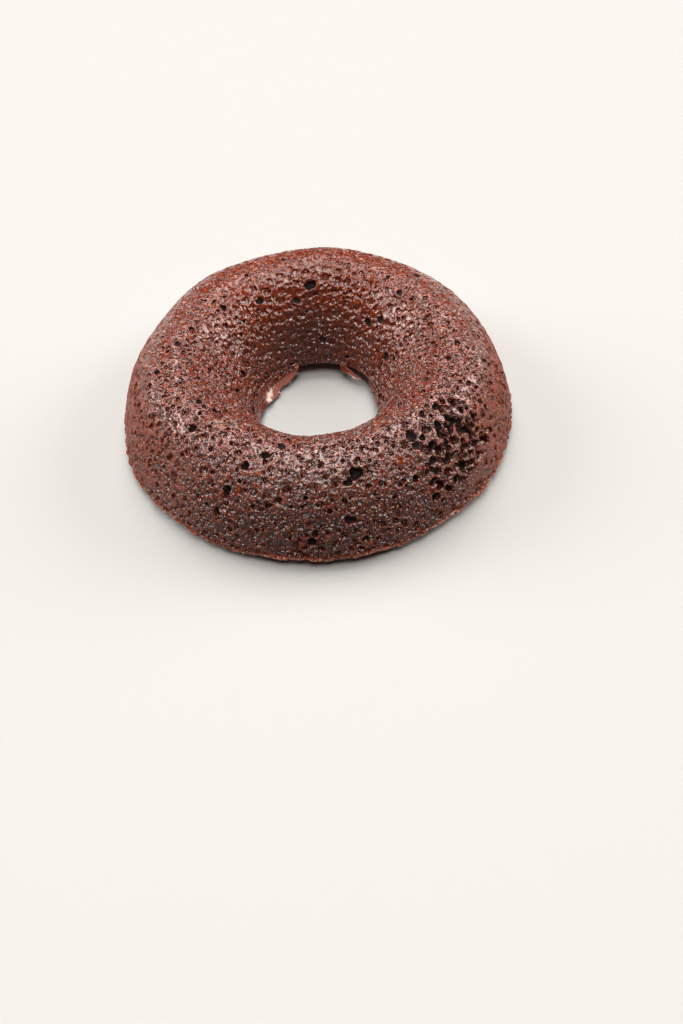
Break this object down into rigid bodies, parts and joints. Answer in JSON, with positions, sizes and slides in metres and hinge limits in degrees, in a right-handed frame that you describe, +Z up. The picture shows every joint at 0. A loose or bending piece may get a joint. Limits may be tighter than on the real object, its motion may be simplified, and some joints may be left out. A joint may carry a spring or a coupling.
{
  "type": "chocolate ring doughnut",
  "caption": "Plain baked chocolate ring doughnut with a domed porous crust, a crisp lower lip, a flared hole and a flat side to rest on.",
  "frame": {"origin": "on the table, under the middle of the hole", "axes": "+Z up through the hole, towards the domed crust; the coarse patch of crumb lies between +X and -Y"},
  "size_m": [0.0838, 0.084, 0.0214],
  "materials": {
    "chocolate_crust": "dark reddish-brown baked cake crust, finely pitted, faintly moist on the ridges"
  },
  "bodies": {
    "root": {"doughnut": "chocolate_crust"}
  },
  "joints": []
}
